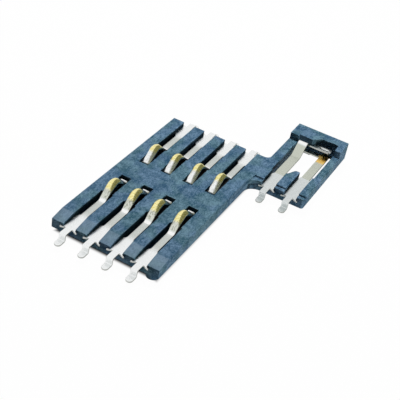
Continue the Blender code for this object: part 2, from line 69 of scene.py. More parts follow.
# Places of the strips
ROW_X = np.array([-3.81, -1.27, 1.27, 3.81]) * MM
FRAME_END = 11.0 * MM
LEVER_X = 7.70 * MM
TERMINAL_X = 10.24 * MM
SWITCH_FACE = 6.93 * MM
STRIP_MIDDLE = 0.725 * MM
STRIP_THICKNESS = 0.15 * MM

# Mesh of a blank: its rounded side, the ring inside it and the lines it is scored along
STRIP_ROUNDING = 0.022 * MM
RING_STEP = 0.02 * MM
GRID_INSET = STRIP_ROUNDING + 1.6 * RING_STEP
SCORE_STEP = 0.16 * MM
SCORE_TURN = math.radians(8)
NEAR_CORNER = 0.02
CORNER_POINTS = 9
SHOULDER_POINTS = 7
ROUNDING_TURNS = np.radians([30.0, 60.0, 90.0])
INSIDE_ONLY = 1
FINEST_GAP = 1e-6
SAME_PLACE = 1e-9

# Millimetres to one unit of the UV map "blank"
UV_WIDTH = 10.0
UV_LENGTH = 20.0

# Moulded frame, and the colours of its plastic: blue and, where it drifts, teal; and the painted
# sheen that lightens its lead-ins
EDGE_RADIUS = 0.035 * MM
MERGE_DISTANCE = 0.0001 * MM
FLAT_ANGLE = math.radians(0.5)
CREASE_ANGLE = math.radians(4)
CORNER_ANGLE = math.radians(25)
LEVEL_LIMIT = 0.5
SLATE_DEEP = ((0.025, 0.072, 0.128, 1.0), (0.027, 0.076, 0.111, 1.0))
SLATE_LIGHT = ((0.140, 0.232, 0.335, 1.0), (0.135, 0.236, 0.300, 1.0))
# Painted sheen: the lead-ins are lightened towards this tone by this share
LEAD_IN_SHEEN_TONE, LEAD_IN_SHEEN_SHARE = (0.245, 0.330, 0.410, 1.0), 0.38
FLOW_STRETCH = (1.0, 0.42, 1.0)
FLOW_TURNS = (0.8, -0.6)

# Studio: the table with a painted shadow under the frame, the fill and the dark cards that metal
# mirrors
FRAME_SIDE = 5.75 * MM
GAP_BLUR = 0.5 * MM
TABLE_HALF = 0.6
TABLE_LEVEL = cad_bounds[0][2]
FLOOR_TONE = (0.62, 0.62, 0.62, 1.0)
# Painted shadow: the dark tone of the table under the frame
UNDER_FRAME_SHADOW_TONE = (0.03, 0.03, 0.03, 1.0)
FLOOR_GLOW = 0.985
WORLD_FILL = 0.02
WHITE = (1.0, 1.0, 1.0, 1.0)
CARD_TONE = (0.21, 0.22, 0.16, 1.0)
CARD_LEFT, CARD_HEAD, CARD_RIGHT = -0.03, 0.10, 0.30
CARD_FRONT, CARD_BACK = -0.60, 0.32
CARD_TOP = 1.1

# Colours of the plated metal and of its painted reflection and highlight, and of what is mixed over
# it in a share: edges, flecks, smears
BRIGHT_TIN = (0.87, 0.885, 0.885, 1.0)
GREY_TIN = (0.68, 0.715, 0.715, 1.0)
ARM_GREY = (0.585, 0.61, 0.585, 1.0)
# Painted darker reflection on the ramps
RAMP_DARK_REFLECTION = (0.66, 0.68, 0.61, 1.0)
BLADE_GREY = (0.57, 0.595, 0.52, 1.0)
# Painted highlight on the folds
FOLD_HIGHLIGHT = (0.95, 0.95, 0.94, 1.0)
PALE_GOLD = ((0.80, 0.68, 0.22, 1.0), (0.96, 0.91, 0.52, 1.0))
RICH_GOLD = ((0.85, 0.50, 0.08, 1.0), (0.92, 0.66, 0.22, 1.0))
SHEARED_TONE, SHEARED_SHARE = (0.36, 0.37, 0.34, 1.0), 0.75
FLECK_TONE, FLECK_SHARE = (0.24, 0.25, 0.21, 1.0), 0.10
SMEAR_TONE, SMEAR_SHARE = (0.20, 0.21, 0.16, 1.0), 0.60

# Stretches of a strip that differ, in mm past its bump, its kink or the frame's face
BUMP_GOLD = (-1.15, 0.80)
# Painted highlight on the fold at a contact's kink
KINK_HIGHLIGHT = (-0.05, 0.35)
# Where the painted darker reflection on a contact's ramp begins
RAMP_START = 0.45
AFTER_BUMP = 2.0
LEVER_SATIN = (2.9, 8.6)
# Painted highlight on the lever's knee
KNEE_HIGHLIGHT = (8.7, 9.6)
TERMINAL_GOLD = (7.7, 12.0)
PAST_THE_END = 50.0
NOWHERE = (PAST_THE_END, PAST_THE_END + 1.0, BRIGHT_TIN, BRIGHT_TIN)

# Solder tail and barb
FOOT = 0.81 * MM
TAIL_BEND = (0.15 * MM, math.radians(86))
TAIL_DROP = 0.65 * MM
TAIL_FLAT = 0.86 * MM
TAIL_HALF = 0.35 * MM
BARB_TIP = (0.85 * MM, 0.16 * MM, 0.08 * MM)
BARB_ROOT = 0.03 * MM
NOTCH = (0.42 * MM, 0.11 * MM, 0.07 * MM)

# Contact arm
CONTACT_BASE_HALF = 0.645 * MM
CONTACT_SEAT = 2.05 * MM
SHOULDER = 0.35 * MM
ARM_HALF = 0.35 * MM
BUMP_HALF = 0.42 * MM
ARM_FLAT = 2.7327 * MM
RAMP = (0.45 * MM, math.radians(44))
RAMP_RUN = 1.5563 * MM
BUMP_ROUND = 0.90 * MM
NOSE = (1.37 * MM, math.radians(40))
LIP = (0.19 * MM, math.radians(-16), 0.10 * MM)
TIP_ROUND = 0.12 * MM
CROWN = 0.25 * MM
CROWN_BEFORE = 2.2 * MM
CROWN_AFTER = 3.6 * MM
CONTACT_COLUMNS = np.linspace(-CONTACT_BASE_HALF, CONTACT_BASE_HALF, 17)[1:-1]

# Switch lever
SWITCH_BASE_HALF = 0.69 * MM
LEVER_SEAT = 2.64 * MM
LEVER_SHOULDER = 0.25 * MM
LEVER_HALF = 0.525 * MM
LEVER_FLAT = 4.0824 * MM
LEVER_RAMP = (0.45 * MM, math.radians(37), 1.5103 * MM)
KNEE_ROUND = 0.35 * MM
KNEE_DROP = (0.15 * MM, math.radians(50), 0.3804 * MM)
BAR_RUN = 0.8025 * MM
BAR_WIDTH = 0.95 * MM
BAR_END = 3.00 * MM
NOSE_SHORT = 0.69 * MM
BAR_SLANT = 0.38 * MM
BEAD = (1.10 * MM, 0.40 * MM, 0.07 * MM)
LEVER_STEP = 0.085 * MM
LEVER_COLUMNS = np.arange(-0.6, 3.0, 0.085) * MM

# Switch terminal
TERMINAL_LEVEL = 9.2106 * MM
TERMINAL_TIP = (0.60 * MM, math.radians(12), 0.70 * MM)
TERMINAL_HALF = 0.46 * MM
TERMINAL_NECK = 0.58 * MM
TERMINAL_SEAT = 2.22 * MM
TERMINAL_CREASE = 3.97 * MM
TAB_REACH = 2.00 * MM
TAB_WIDTH = 0.65 * MM
TAB_FROM_TIP = 0.67 * MM
TERMINAL_COLUMNS = np.arange(-2.4, 0.65, 0.1) * MM


class Wire:
    """A shader socket that takes part in Python arithmetic by adding Math nodes."""

    tree = None

    def __init__(self, socket):
        self.socket = socket

    @staticmethod
    def node(kind, settings=None, inputs=None, output=0):
        """Add a node, set its settings, fill or link its inputs and return one output, if any."""
        made = Wire.tree.nodes.new(kind)
        for key, value in (settings or {}).items():
            setattr(made, key, value)
        for key, value in (inputs or {}).items():
            if isinstance(value, Wire):
                Wire.tree.links.new(value.socket, made.inputs[key])
            else:
                made.inputs[key].default_value = value
        return Wire(made.outputs[output]) if made.outputs else None

    def math(self, operation, other=None):
        """Result of one Math node on this value and another."""
        inputs = {0: self}
        if other is not None:
            inputs[1] = other
        return Wire.node("ShaderNodeMath", {"operation": operation}, inputs)

    def __add__(self, other):
        return self.math("ADD", other)

    __radd__ = __add__

    def __mul__(self, other):
        return self.math("MULTIPLY", other)

    __rmul__ = __mul__

    def __sub__(self, other):
        return self.math("SUBTRACT", other)

    def __rsub__(self, other):
        return Wire.node("ShaderNodeMath", {"operation": "SUBTRACT"}, {0: other, 1: self})

    def __abs__(self):
        return self.math("ABSOLUTE")

    def between(self, low, high):
        """Smooth step from 0 at low to 1 at high."""
        return Wire.node("ShaderNodeMapRange", {"interpolation_type": "SMOOTHSTEP"},
                         {"Value": self, "From Min": low, "From Max": high})

    def mix(self, first, second):
        """Colour that goes from first to second with this value."""
        return Wire.node("ShaderNodeMix", {"data_type": "RGBA"}, {0: self, 6: first, 7: second}, 2)


def part_of(vector, axis):
    """One number of a place or a direction: 0 gives its X, 1 its Y and 2 its Z."""
    return Wire.node("ShaderNodeSeparateXYZ", None, {0: vector}, axis)


def object_place():
    """Place of a surface point on its own object."""
    return Wire.node("ShaderNodeTexCoord", None, None, "Object")


def noise(place, scale, detail=2.0, roughness=0.5, distortion=0.0):
    """Noise value at a place, with its scale in grains to a unit of the place."""
    inputs = {"Vector": place, "Scale": scale, "Detail": detail, "Roughness": roughness,
              "Distortion": distortion}
    return Wire.node("ShaderNodeTexNoise", None, inputs)


def stretched(place, factors, turn=0.0):
    """A place scaled along each axis and turned about Z, so that a pattern runs one way."""
    inputs = {"Vector": place, "Scale": factors, "Rotation": (0.0, 0.0, turn)}
    return Wire.node("ShaderNodeMapping", None, inputs)


def bump(height, distance, strength):
    """Normal disturbed by a height in units of the distance."""
    inputs = {"Height": height, "Distance": distance, "Strength": strength}
    return Wire.node("ShaderNodeBump", None, inputs)


def start_tree(owner):
    """Empty the node tree of a material or world, and send the next wires into it."""
    owner.use_nodes = True
    owner.node_tree.nodes.clear()
    Wire.tree = owner.node_tree
    return owner


def show(surface, kind="ShaderNodeOutputMaterial"):
    """Link a finished shader to the output of the tree."""
    Wire.node(kind, None, {"Surface": surface})


def principled(**sockets):
    """Principled shader: a wire is linked to its socket, and a constant is set on it."""
    inputs = {name.replace("_", " "): value for name, value in sockets.items()}
    return Wire.node("ShaderNodeBsdfPrincipled", None, inputs)


def slate_plastic():
    """Moulded slate-blue plastic with fibrous flow marks, fine grain, a dull sheen and a painted
    sheen that lightens the lead-ins.
    """
    material = start_tree(bpy.data.materials.new("slate_moulding"))
    place = object_place()
    drift = noise(place, scale=500.0, detail=1.0, roughness=0.5)
    fibre = noise(stretched(place, FLOW_STRETCH, FLOW_TURNS[0]), scale=5400.0, detail=3.0,
                  roughness=0.6, distortion=2.2)
    cross = noise(stretched(place, FLOW_STRETCH, FLOW_TURNS[1]), scale=4300.0, detail=3.0,
                  roughness=0.6, distortion=2.2)
    cloud = noise(place, scale=900.0, detail=2.0, roughness=0.6, distortion=0.8)
    grain = noise(place, scale=19000.0, detail=2.0, roughness=0.6)
    shade = fibre * 0.34 + cross * 0.28 + cloud * 0.26 + grain * 0.12
    tone = shade.between(0.41, 0.60)
    teal = drift.between(0.42, 0.62)
    deep = teal.mix(*SLATE_DEEP)
    light = teal.mix(*SLATE_LIGHT)
    # Painted sheen: the lead-ins' colour is lightened, and they are made less rough
    polish_and_sheen = lead_in_polish_and_sheen()
    body = (polish_and_sheen * LEAD_IN_SHEEN_SHARE).mix(tone.mix(deep, light), LEAD_IN_SHEEN_TONE)
    show(principled(Base_Color=body, Roughness=0.60 + grain * 0.16 - polish_and_sheen * 0.18,
                    Specular_IOR_Level=0.06, Normal=bump(grain, 0.010 * MM, strength=0.6)))
    return material


def lead_in_polish_and_sheen():
    """1 on the sloping lead-ins that cards rub, known by their tilt towards -Y, and else 0: the
    mask of their painted sheen and lower roughness.
    """
    tilt = Wire.node("ShaderNodeNewGeometry", None, None, "True Normal")
    return (0.0 - part_of(tilt, 1)).between(0.10, 0.16) * part_of(tilt, 2).between(0.90, 0.96)


def stretch(along, ends, blur):
    """1 on the stretch between two lengths and 0 beyond them, blurred at both."""
    first, last = ends[:2]
    return along.between(first - blur, first + blur) - along.between(last - blur, last + blur)


def plated_strip(name, tin, gold, satin, fold_highlight, ramp):
    """Tin-plated strip metal with rolling lines and smears, gold plated over one stretch.

    UV "blank" holds the place on the flat strip, and the attribute "sheared" is 1 on its bare
    sides. gold, satin, fold_highlight and ramp are each a stretch of the strip: two lengths in mm
    from its toe and the colour there. fold_highlight is a painted highlight and ramp a painted
    darker reflection. gold has two colours, and satin ends with its ends' blur.
    """
    material = start_tree(bpy.data.materials.new(name))
    blank = Wire.node("ShaderNodeUVMap", {"uv_map": "blank"})
    across = part_of(blank, 0) * UV_WIDTH - UV_WIDTH / 2
    along = part_of(blank, 1) * UV_LENGTH
    rolled = noise(stretched(blank, (10.0, 1.2, 1.0)), scale=55.0, detail=3.0, roughness=0.6)
    square = stretched(blank, (1.0, UV_LENGTH / UV_WIDTH, 1.0))
    cloud = noise(square, scale=60.0, detail=3.0, roughness=0.6)
    fleck = noise(square, scale=190.0, detail=3.0, roughness=0.65)
    smear = noise(stretched(object_place(), (1.0, 0.45, 0.45)), scale=6500.0, detail=2.0,
                  roughness=0.6, distortion=0.6)

    # Tin, then its duller stretch, the painted darker reflection on the slope and the painted
    # highlight on the fold, then flecks and smears over them
    sloping = stretch(along, ramp, blur=0.15)
    worked = sloping + stretch(along, (ramp[1], ramp[1] + AFTER_BUMP), blur=0.15) * 0.35
    base = stretch(along, satin, blur=satin[3]).mix(tin, satin[2])
    base = sloping.mix(base, ramp[2])
    base = stretch(along, fold_highlight, blur=0.10).mix(base, fold_highlight[2])
    base = (fleck.between(0.46, 0.70) * FLECK_SHARE).mix(base, FLECK_TONE)
    base = (worked * smear.between(0.47, 0.66) * SMEAR_SHARE).mix(base, SMEAR_TONE)

    # Gold with uneven ends and none on a tab at the left, then bare metal where it was sheared
    plated = stretch(along + (cloud - 0.5) * 0.5, gold, blur=0.22) * across.between(-0.75, -0.45)
    yellow = cloud.between(0.30, 0.70).mix(gold[2], gold[3])
    sheared = Wire.node("ShaderNodeAttribute", {"attribute_name": "sheared"}, None, "Fac")
    colour = (sheared * SHEARED_SHARE).mix(plated.mix(base, yellow), SHEARED_TONE)
    show(principled(Base_Color=colour, Metallic=1.0, Roughness=0.19 + rolled * 0.14,
                    Normal=bump(rolled, 0.004 * MM, strength=0.6)))
    return material


def bend_line(path, s):
    """Y, Z and direction of a bent line at lengths s: each (length, turn) piece adds its chord."""
    y = np.zeros_like(s)
    z = np.zeros_like(s)
    lean = np.zeros_like(s)
    begin = 0.0
    heading = 0.0
    for length, turn in path:
        part = np.clip(s - begin, 0.0, length)
        if turn:
            rate = turn / length
            y += (np.sin(heading + rate * part) - math.sin(heading)) / rate
            z += (math.cos(heading) - np.cos(heading + rate * part)) / rate
            lean += rate * part
        else:
            y += part * math.cos(heading)
            z += part * math.sin(heading)
        begin += length
        heading += turn
    return y, z, lean


def bow(radius, angle):
    """Piece of a bent line that turns by an angle on a radius."""
    return (abs(angle) * radius, angle)


def length_of(path):
    """Whole length of a bent line."""
    return sum(length for length, _ in path)


def stations(path, step):
    """Lengths at which a strip is scored: every step, and every few degrees of a bend."""
    marks = [np.zeros(1)]
    begin = 0.0
    for length, turn in path:
        count = max(math.ceil(length / step), math.ceil(abs(turn) / SCORE_TURN), 1)
        marks.append(begin + length * np.arange(1, count + 1) / count)
        begin += length
    return np.concatenate(marks)


def scored(outline, marks):
    """Outline with a point added wherever it crosses a scored length, save beside a corner."""
    closed = np.vstack((outline, outline[:1]))
    low = closed[:-1, 1][:, None]
    high = closed[1:, 1][:, None]
    rise = np.where(high == low, 1.0, high - low)
    share = np.where(high == low, -1.0, (marks - low) / rise)
    crossed = (share > NEAR_CORNER) & (share < 1.0 - NEAR_CORNER)
    side, _ = np.nonzero(crossed)
    places = side + share[crossed]
    places = np.sort(np.concatenate((np.arange(len(outline)), places)))
    index = np.arange(len(closed))
    return np.column_stack((np.interp(places, index, closed[:, 0]),
                            np.interp(places, index, closed[:, 1])))


def inset(outline, distance):
    """Outline moved inwards: every corner goes along the mitre of its two sides' normals."""
    along = np.roll(outline, -1, axis=0) - outline
    along = along / np.linalg.norm(along, axis=1)[:, None]
    normal = np.column_stack((-along[:, 1], along[:, 0]))
    before = np.roll(normal, 1, axis=0)
    mitre = (normal + before) / (1.0 + (normal * before).sum(axis=1))[:, None]
    return outline + distance * mitre


def inside(outline, points):
    """True for points within the outline: a ray from each crosses it an odd number of times."""
    x, y = points[:, 0][:, None], points[:, 1][:, None]
    x0, y0 = outline[:, 0], outline[:, 1]
    x1, y1 = np.roll(x0, -1), np.roll(y0, -1)
    spans = (y0 > y) != (y1 > y)
    crossing = x0 + (y - y0) * (x1 - x0) / np.where(y1 == y0, 1.0, y1 - y0)
    return (spans & (x < crossing)).sum(axis=1) % 2 == 1


def blank_faces(outline, columns, marks):
    """Triangles of a blank: its outline, a ring just inside it and a grid of scored lines."""
    rim = inset(outline, STRIP_ROUNDING)
    ring = inset(outline, STRIP_ROUNDING + RING_STEP)
    grid = np.stack(np.meshgrid(columns, marks), axis=-1).reshape(-1, 2)
    grid = grid[inside(inset(outline, GRID_INSET), grid)]
    flat = np.vstack((rim, ring, grid)) / MM
    count = len(rim)
    order = np.arange(count)
    edges = np.vstack((np.column_stack((order, np.roll(order, -1))),
                       np.column_stack((order + count, np.roll(order, -1) + count))))
    result = delaunay_2d_cdt([Vector(p) for p in flat], edges.tolist(), [order.tolist()],
                             INSIDE_ONLY, FINEST_GAP)
    points = np.array([tuple(p) for p in result[0]]) * MM
    if len(points) != len(flat) or not np.allclose(points, flat * MM, atol=SAME_PLACE):
        raise ValueError("the blank's points were merged")
    faces = np.array(result[2])
    first, second, third = (points[faces[:, corner]] for corner in range(3))
    area = np.cross(second - first, third - first)
    faces[area < 0] = faces[area < 0][:, ::-1]
    return points, faces


def strip_blank(outline, path, columns, step=SCORE_STEP):
    """Closed strip, flat: its top, its bottom and rounded sides between them.

    A side's round is a quarter circle: at angle t it lies r(1 - sin t) inside the outline and
    r(1 - cos t) below the face. columns are the places across the blank of its inner grid.
    Returns the points, their heights over the middle of the metal, the faces, and for each
    point 1 on the sides and 0 on the top and bottom.
    """
    marks = stations(path, step)
    outline = scored(outline, marks)
    flat, faces = blank_faces(outline, columns, marks)
    half = STRIP_THICKNESS / 2
    count = len(outline)
    rings = [inset(outline, STRIP_ROUNDING * (1 - math.sin(t))) for t in ROUNDING_TURNS]
    sinks = [half - STRIP_ROUNDING * (1 - math.cos(t)) for t in ROUNDING_TURNS]
    points = np.vstack([flat, *rings, *rings[::-1], flat])
    lifts = np.concatenate([np.full(len(flat), half), np.repeat(sinks, count),
                            -np.repeat(sinks[::-1], count), np.full(len(flat), -half)])
    starts = [0] + [len(flat) + count * i for i in range(2 * len(rings) + 1)]
    order = np.arange(count)
    after = np.roll(order, -1)
    walls = [np.column_stack((upper + after, upper + order, lower + order, lower + after))
             for upper, lower in zip(starts[:-1], starts[1:])]
    below = faces[:, ::-1] + starts[-1]
    wall = np.zeros(len(points))
    wall[starts[1]:starts[-1]] = 1.0
    return points, lifts, faces.tolist() + below.tolist() + np.vstack(walls).tolist(), wall


def form_strip(name, blank, path, origin, turned, material, dent=None):
    """Bend a blank: a point goes where its length along the blank lies on the bent line.

    y = Y(s) - h sin(a), z = Z(s) + h cos(a), with h its height over the middle of the metal,
    to which a dent adds its own. A strip of the far row is turned half round. Each point of
    the sides has 1 in the attribute "sheared".
    """
    flat, lift, faces, wall = blank
    across, along = flat[:, 0], flat[:, 1]
    y, z, lean = bend_line(path, along)
    if dent:
        lift = lift + dent(across, along)
    sign = -1.0 if turned else 1.0
    points = np.column_stack((origin[0] + sign * across,
                              origin[1] + sign * (y - lift * np.sin(lean)),
                              origin[2] + z + lift * np.cos(lean)))
    mesh = bpy.data.meshes.new(name)
    mesh.from_pydata(points, [], faces)
    loops = np.empty(len(mesh.loops), np.int32)
    mesh.loops.foreach_get("vertex_index", loops)
    uv = mesh.uv_layers.new(name="blank")
    cut = np.column_stack((0.5 + across / (UV_WIDTH * MM), along / (UV_LENGTH * MM)))[loops]
    uv.data.foreach_set("uv", cut.ravel())
    sheared = mesh.attributes.new("sheared", "FLOAT", "POINT")
    sheared.data.foreach_set("value", wall)
    mesh.shade_smooth()
    mesh.materials.append(material)
    strip = bpy.data.objects.new(name, mesh)
    bpy.context.scene.collection.objects.link(strip)
    return strip


def round_corner(centre_x, centre_s, radius, start, end):
    """Points of a circular corner between two angles in degrees."""
    angles = np.radians(np.linspace(start, end, CORNER_POINTS))
    return np.column_stack((centre_x + radius * np.cos(angles), centre_s + radius * np.sin(angles)))


def tail_path():
    """Foot on the board, steep rise and flat tail, from the toe to the frame's face."""
    radius, angle = TAIL_BEND
    rise = TAIL_DROP - 2 * radius * (1 - math.cos(angle))
    return [(FOOT, 0.0), bow(radius, angle), (rise / math.sin(angle), 0.0),
            bow(radius, -angle), (TAIL_FLAT, 0.0)]


def root_side(base_half, face):
    """Right side of a root from its toe: tail, notch, hooked barb and the base's corner."""
    tip_x, tip_out, tip = BARB_TIP
    notch_x, notch_out, notch = NOTCH
    barb = round_corner(tip_x, face - tip_out, tip, -120, 90)
    return np.vstack((round_corner(0.0, TAIL_HALF, TAIL_HALF, -90, 0),
                      round_corner(notch_x, face - notch_out, notch, 180, 0),
                      barb, [(base_half, face - BARB_ROOT)]))


def shoulder_side(arm_half, base_half, seat_end, length):
    """Side of the shoulder between base and arm: its width falls by the square of the way."""
    way = np.linspace(1, 0, SHOULDER_POINTS)
    return np.column_stack((arm_half + (base_half - arm_half) * way ** 2,
                            seat_end + length * (1 - way)))


def mirrored(right):
    """Left side of an outline from its right side, less the points on the middle line."""
    left = right[::-1] * (-1.0, 1.0)
    return left[np.abs(left[:, 0]) > SAME_PLACE]


def toe_place(path, face, x, face_y, turned=False):
    """Where a strip's toe stands, so that its path meets the frame's face at x and face_y."""
    y, z, _ = (value[0] for value in bend_line(path, np.array([face])))
    return (x, face_y + y if turned else face_y - y, STRIP_MIDDLE - z)


def contact_path():
    """Whole contact from toe to tip: tail, seat, arm, ramp, bump, nose and lip."""
    radius, angle = RAMP
    length, slope = NOSE
    lip_radius, lip_slope, lip_run = LIP
    return tail_path() + [(CONTACT_SEAT + SHOULDER + ARM_FLAT, 0.0), bow(radius, angle),
                          (RAMP_RUN, 0.0), bow(BUMP_ROUND, -angle - slope), (length, 0.0),
                          bow(lip_radius, slope - lip_slope), (lip_run, 0.0)]


def contact_places(face):
    """Lengths from a contact's toe to the end of its seat, its kink, its ramp's end and top."""
    seat_end = face + CONTACT_SEAT
    kink = seat_end + SHOULDER + ARM_FLAT
    ramp_end = kink + RAMP[0] * RAMP[1] + RAMP_RUN
    return seat_end, kink, ramp_end, ramp_end + RAMP[1] * BUMP_ROUND


def make_contacts(face, material):
    """Eight contacts: each one strip over its root and arm nodes."""
    path = contact_path()
    seat_end, kink, ramp_end, top = contact_places(face)
    end = length_of(path)
    tip = round_corner(BUMP_HALF - TIP_ROUND, end - TIP_ROUND, TIP_ROUND, 0, 90)
    right = np.vstack((root_side(CONTACT_BASE_HALF, face),
                       shoulder_side(ARM_HALF, CONTACT_BASE_HALF, seat_end, SHOULDER),
                       [(ARM_HALF, kink), (BUMP_HALF, ramp_end)], tip))
    blank = strip_blank(np.vstack((right, mirrored(right))), path, CONTACT_COLUMNS)

    def crown(x, s):
        """Bowed section: the edges sink by the square of their distance from the middle.

        It fades by the square of a cosine over its reach on each side of the bump's top.
        """
        reach = np.where(s < top, CROWN_BEFORE, CROWN_AFTER)
        fade = np.cos(np.clip(np.abs(s - top) / reach, 0, 1) * math.pi / 2) ** 2
        return -CROWN * fade * (x / BUMP_HALF) ** 2

    number = 0
    for side in (-1, 1):
        for x in ROW_X:
            number += 1
            origin = toe_place(path, face, x, side * FRAME_END, side > 0)
            strip = form_strip(f"contact_{number}_strip", blank, path, origin, side > 0, material,
                               crown)
            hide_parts(f"contact_{number}_root", f"contact_{number}_arm")
            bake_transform(strip)


def make_lever(face, material):
    """Switch lever: one strip with a straight arm, raised knee and L-shaped head with a bead."""
    radius, angle, run = LEVER_RAMP
    drop_radius, drop, fall = KNEE_DROP
    path = tail_path() + [(LEVER_SEAT + LEVER_SHOULDER + LEVER_FLAT, 0.0), bow(radius, angle),
                          (run, 0.0), bow(KNEE_ROUND, -angle - drop), (fall, 0.0),
                          bow(drop_radius, drop), (BAR_RUN, 0.0)]
    end = length_of(path)
    near = end - BAR_WIDTH
    nose = end - NOSE_SHORT
    corner = BAR_WIDTH / 4
    shoulder = shoulder_side(LEVER_HALF, SWITCH_BASE_HALF, face + LEVER_SEAT, LEVER_SHOULDER)
    root = np.vstack((root_side(SWITCH_BASE_HALF, face), shoulder))
    slant_x = LEVER_HALF + BAR_SLANT
    inner = round_corner(LEVER_HALF + drop_radius, near - drop_radius, drop_radius, 180, 90)
    head = np.vstack((inner,
                      round_corner(BAR_END - corner, near + corner, corner, -90, 0),
                      round_corner(BAR_END - corner, end - corner, corner, 0, 90),
                      [(slant_x + BAR_SLANT, end), (slant_x, nose), (-LEVER_HALF, nose)]))
    bead_length, bead_width, depth = BEAD
    bead_x = BAR_END - bead_length / 2 - BAR_WIDTH / 4
    bead_s = end - BAR_WIDTH / 2

    def bead(x, s):
        """Trough pressed along the bar: squared cosine across it, flat-bottomed along it."""
        across = np.clip(np.abs(s - bead_s) / (bead_width / 2), 0, 1)
        along = np.clip(np.abs(x - bead_x) / (bead_length / 2), 0, 1)
        return -depth * np.cos(across * math.pi / 2) ** 2 * (1 - along ** 4)

    outline = np.vstack((root, head, mirrored(root)))
    blank = strip_blank(outline, path, LEVER_COLUMNS, LEVER_STEP)
    origin = toe_place(path, face, LEVER_X, SWITCH_FACE)
    strip = form_strip("switch_lever_strip", blank, path, origin, False, material, bead)
    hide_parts("switch_lever_root", "switch_lever_arm")
    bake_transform(strip)


def make_terminal(face, material):
    """Switch terminal: one fixed strip with a dipped tip and a tab on its left."""
    radius, dip, run = TERMINAL_TIP
    path = tail_path() + [(TERMINAL_LEVEL, 0.0), bow(radius, -dip), (run, 0.0)]
    end = length_of(path)
    crease = face + TERMINAL_CREASE
    neck = crease - (TERMINAL_NECK - TERMINAL_HALF)
    root = np.vstack((root_side(SWITCH_BASE_HALF, face),
                      [(SWITCH_BASE_HALF, face + TERMINAL_SEAT), (TERMINAL_NECK, neck),
                       (TERMINAL_HALF, crease)]))
    tab = TAB_WIDTH / 4
    reach = TERMINAL_HALF + TAB_REACH
    far = end - TAB_FROM_TIP
    near = far - TAB_WIDTH
    tip = np.vstack((round_corner(TERMINAL_HALF - TIP_ROUND, end - TIP_ROUND, TIP_ROUND, 0, 90),
                     round_corner(TIP_ROUND - TERMINAL_HALF, end - TIP_ROUND, TIP_ROUND, 90, 180),
                     [(-TERMINAL_HALF, far)],
                     round_corner(tab - reach, far - tab, tab, 90, 180),
                     round_corner(tab - reach, near + tab, tab, 180, 270),
                     round_corner(-TERMINAL_HALF - TIP_ROUND / 2, near - TIP_ROUND / 2,
                                  TIP_ROUND / 2, 90, 0)))
    blank = strip_blank(np.vstack((root, tip, mirrored(root))), path, TERMINAL_COLUMNS)
    origin = toe_place(path, face, TERMINAL_X, SWITCH_FACE)
    strip = form_strip("switch_terminal_strip", blank, path, origin, False, material)
    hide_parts("switch_terminal")
    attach(strip, "frame")


def make_housing(material):
    """Moulded frame: the CAD solid's own faces with every corner edge broken by a radius."""
    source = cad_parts["housing"]
    bm = bmesh.new()
    bm.from_mesh(source.data)
    bmesh.ops.remove_doubles(bm, verts=bm.verts, dist=MERGE_DISTANCE)
    bmesh.ops.dissolve_limit(bm, angle_limit=FLAT_ANGLE, verts=bm.verts, edges=bm.edges)
    bm.normal_update()
    for edge in bm.edges:
        # A crease between two faces that look up or down stays sharp
        level = all(abs(face.normal.z) > LEVEL_LIMIT for face in edge.link_faces)
        between_two = level and len(edge.link_faces) == 2
        edge.smooth = not (between_two and edge.calc_face_angle() > CREASE_ANGLE)
    mesh = bpy.data.meshes.new("frame_moulding")
    bm.to_mesh(mesh)
    bm.free()
    mesh.polygons.foreach_set("use_smooth", np.ones(len(mesh.polygons), bool))
    mesh.materials.clear()
    mesh.materials.append(material)
    moulding = bpy.data.objects.new("frame_moulding", mesh)
    bpy.context.scene.collection.objects.link(moulding)
    edges = moulding.modifiers.new("edge_radius", "BEVEL")
    edges.width = EDGE_RADIUS
    edges.segments = 2
    edges.limit_method = "ANGLE"
    edges.angle_limit = CORNER_ANGLE
    edges.harden_normals = True
    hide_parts("housing")
    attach(moulding, "frame")


def make_camera():
    """Camera of the photograph, fitted to the contact grid: axes right, up and back."""
    right = (0.8634998, 0.48248103, 0.14690184)
    up = (-0.39676692, 0.4700385, 0.78844139)
    back = (0.3113585, -0.73910477, 0.59731066)
    place = (30.8108 * MM, -64.4875 * MM, 53.3505 * MM)
    camera = bpy.data.cameras.new("camera")
    camera.lens = 81.41
    camera.sensor_width = 36.0
    camera.clip_start = 0.001
    camera.clip_end = 20.0
    eye = bpy.data.objects.new("camera", camera)
    bpy.context.scene.collection.objects.link(eye)
    eye.matrix_world = Matrix(((right[0], up[0], back[0], place[0]),
                               (right[1], up[1], back[1], place[1]),
                               (right[2], up[2], back[2], place[2]),
                               (0.0, 0.0, 0.0, 1.0)))
    bpy.context.scene.camera = eye


def seen_directly():
    """1 for a ray of the eye, a mirror or glass that comes off no matt surface, and else 0."""
    camera = Wire.node("ShaderNodeLightPath", None, None, "Is Camera Ray")
    glossy = Wire.node("ShaderNodeLightPath", None, None, "Is Glossy Ray")
    through = Wire.node("ShaderNodeLightPath", None, None, "Is Transmission Ray")
    depth = Wire.node("ShaderNodeLightPath", None, None, "Diffuse Depth")
    bounced = depth.math("MINIMUM", 1.0)
    return camera.math("MAXIMUM", glossy).math("MAXIMUM", through) * (1.0 - bounced)


def stand_board(name, corners, material):
    """One flat board of the studio from its four corners."""
    mesh = bpy.data.meshes.new(name)
    mesh.from_pydata(corners, [], [(0, 1, 2, 3)])
    mesh.materials.append(material)
    board = bpy.data.objects.new(name, mesh)
    bpy.context.scene.collection.objects.link(board)
    return board


